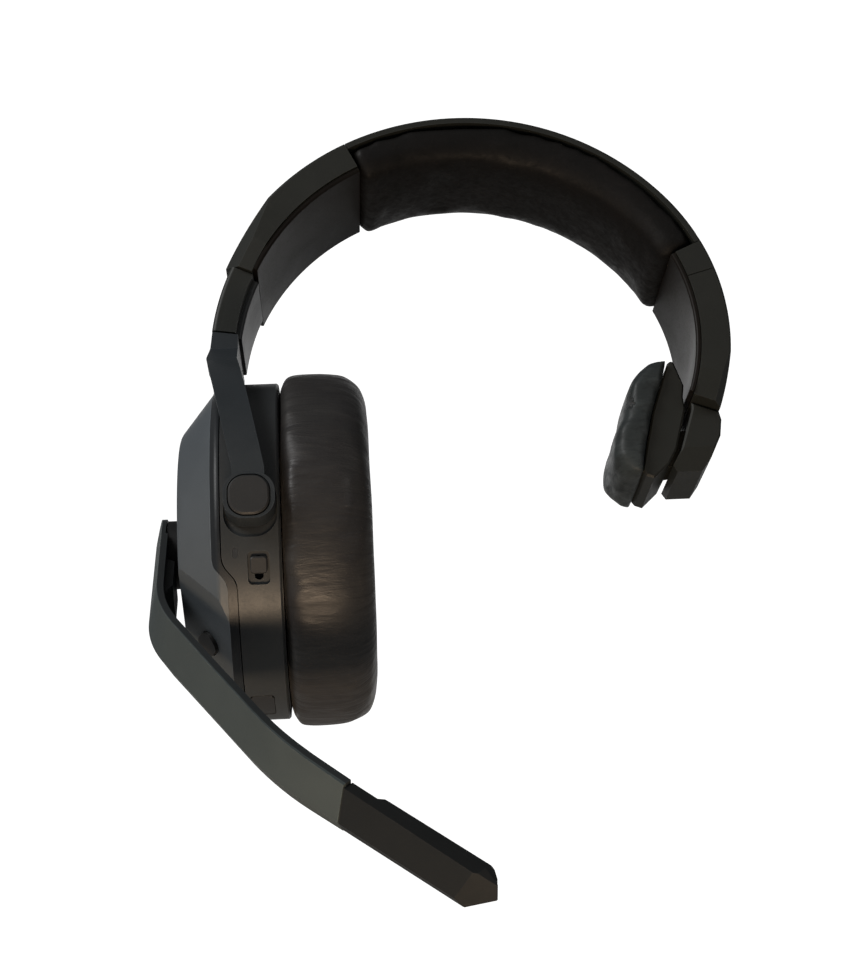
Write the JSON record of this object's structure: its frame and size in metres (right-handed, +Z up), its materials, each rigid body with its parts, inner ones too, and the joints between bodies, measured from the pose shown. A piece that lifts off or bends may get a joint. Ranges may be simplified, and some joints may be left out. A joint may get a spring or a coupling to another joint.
{
  "type": "single-ear wireless headset microphone",
  "caption": "Padded over-head band with one round ear cup on a fork, a rotating boom microphone at the cup and a padded temple rest at the other end.",
  "frame": {"origin": "point on the ear cup's axis where the wearer's ear is, 1.1 mm clear of the relaxed cushion's contact face", "axes": "as worn: +Z up, the wearer faces -Y, +X runs from the ear cup across the head to the temple pad; the ear cup's own axis is the X axis"},
  "size_m": [0.1553, 0.1399, 0.2221],
  "materials": {
    "shell_grey": "satin, slate grey",
    "shell_black": "matte, near black",
    "soft_leather": "soft brown-black leatherette",
    "liner": "matte",
    "steel": "brushed",
    "speaker_fabric": "woven",
    "driver_magnet": "plated",
    "driver_film": "thin film",
    "board": "solder mask",
    "cell": "pouch foil",
    "led_window": "milky",
    "key_black": "matte",
    "wire": "matte",
    "mesh": "fine mesh",
    "nickel": "nickel plated"
  },
  "bodies": {
    "headband": {"band_shell": "shell_black", "band_pad": "soft_leather", "pad_carrier": "liner", "band_spring": "steel", "band_cover_left": "shell_black", "band_liner_left": "liner", "band_cover_right": "shell_black", "band_collar_right": "shell_black", "band_liner_right": "liner"},
    "cup_slider": {"slider_cover": "shell_black", "slider_back": "shell_black", "slider_strip_left": "steel", "swivel_pin": "steel"},
    "cup_fork": {"fork": "shell_black", "pivot_pins": "steel", "pivot_cap_front": "key_black", "pivot_cap_rear": "key_black"},
    "ear_cup": {"cup_housing": "shell_black", "cup_rim": "shell_black", "outer_cover": "shell_grey", "baffle_plate": "shell_black", "cup_screws": "steel", "driver_basket": "liner", "driver_magnet": "driver_magnet", "driver_diaphragm": "driver_film", "speaker_cloth": "speaker_fabric", "cushion_ring": "liner", "ear_cushion": "soft_leather", "main_board": "board", "battery": "cell", "usb_port": "nickel", "power_switch": "liner", "status_led": "led_window", "hub_plate": "shell_black"},
    "boom": {"boom_shell": "shell_grey", "boom_back": "shell_black", "boom_wire": "wire", "axle_clip": "steel", "mic_body": "shell_black", "mic_cover": "shell_black", "mic_capsule": "nickel", "mic_mesh": "mesh", "mic_board": "board"},
    "power_key": {"power_knob": "key_black"},
    "volume_up_key": {"volume_up_button": "key_black"},
    "volume_down_key": {"volume_down_button": "key_black"},
    "function_key": {"function_button": "key_black"},
    "usb_lid": {"usb_cover": "key_black"},
    "temple_slider": {"slider_strip_right": "steel", "temple_arm": "shell_black", "temple_pin": "steel"},
    "temple_rest": {"temple_bracket": "shell_black", "temple_pad": "soft_leather"}
  },
  "joints": [
    {"name": "cup_slide", "type": "hinge", "parent": "headband", "child": "cup_slider", "pos_m": [0.02598, 0, 0.04675], "axis": [0, -1, 0], "range_deg": [0, 12]},
    {"name": "cup_swivel", "type": "hinge", "parent": "cup_slider", "child": "cup_fork", "pos_m": [-0.03751, 0, 0.05624], "axis": [0.1478, 0, 0.989], "range_deg": [-15, 15]},
    {"name": "cup_tilt", "type": "hinge", "parent": "cup_fork", "child": "ear_cup", "pos_m": [-0.031, 0, -0.0011], "axis": [0, 1, 0], "range_deg": [-8, 8]},
    {"name": "boom_turn", "type": "hinge", "parent": "ear_cup", "child": "boom", "pos_m": [-0.0543, 0, 0], "axis": [1, 0, 0], "range_deg": [-75, 100]},
    {"name": "temple_slide", "type": "hinge", "parent": "headband", "child": "temple_slider", "pos_m": [0.03587, 0, 0.05188], "axis": [0, 1, 0], "range_deg": [0, 12]},
    {"name": "temple_tilt", "type": "hinge", "parent": "temple_slider", "child": "temple_rest", "pos_m": [0.0862, 0, 0.025], "axis": [0, 1, 0], "range_deg": [-3, 3]},
    {"name": "power_slide", "type": "slide", "parent": "ear_cup", "child": "power_key", "axis": [0, 0.3795, -0.9252], "range_m": [0, 0.0024]},
    {"name": "volume_up_press", "type": "slide", "parent": "ear_cup", "child": "volume_up_key", "axis": [0, -0.8829, 0.4695], "range_m": [0, 0.0006], "stiffness_N_per_m": 1500, "springref_m": -0.0002},
    {"name": "volume_down_press", "type": "slide", "parent": "ear_cup", "child": "volume_down_key", "axis": [0, -0.7314, 0.682], "range_m": [0, 0.0006], "stiffness_N_per_m": 1500, "springref_m": -0.0002},
    {"name": "function_press", "type": "slide", "parent": "ear_cup", "child": "function_key", "axis": [0.798, 0.2494, 0.5486], "range_m": [0, 0.0006], "stiffness_N_per_m": 1500, "springref_m": -0.0002},
    {"name": "usb_lid_open", "type": "hinge", "parent": "ear_cup", "child": "usb_lid", "pos_m": [-0.0305, -0.01278, -0.04194], "axis": [-1, 0, 0], "range_deg": [0, 85]}
  ]
}
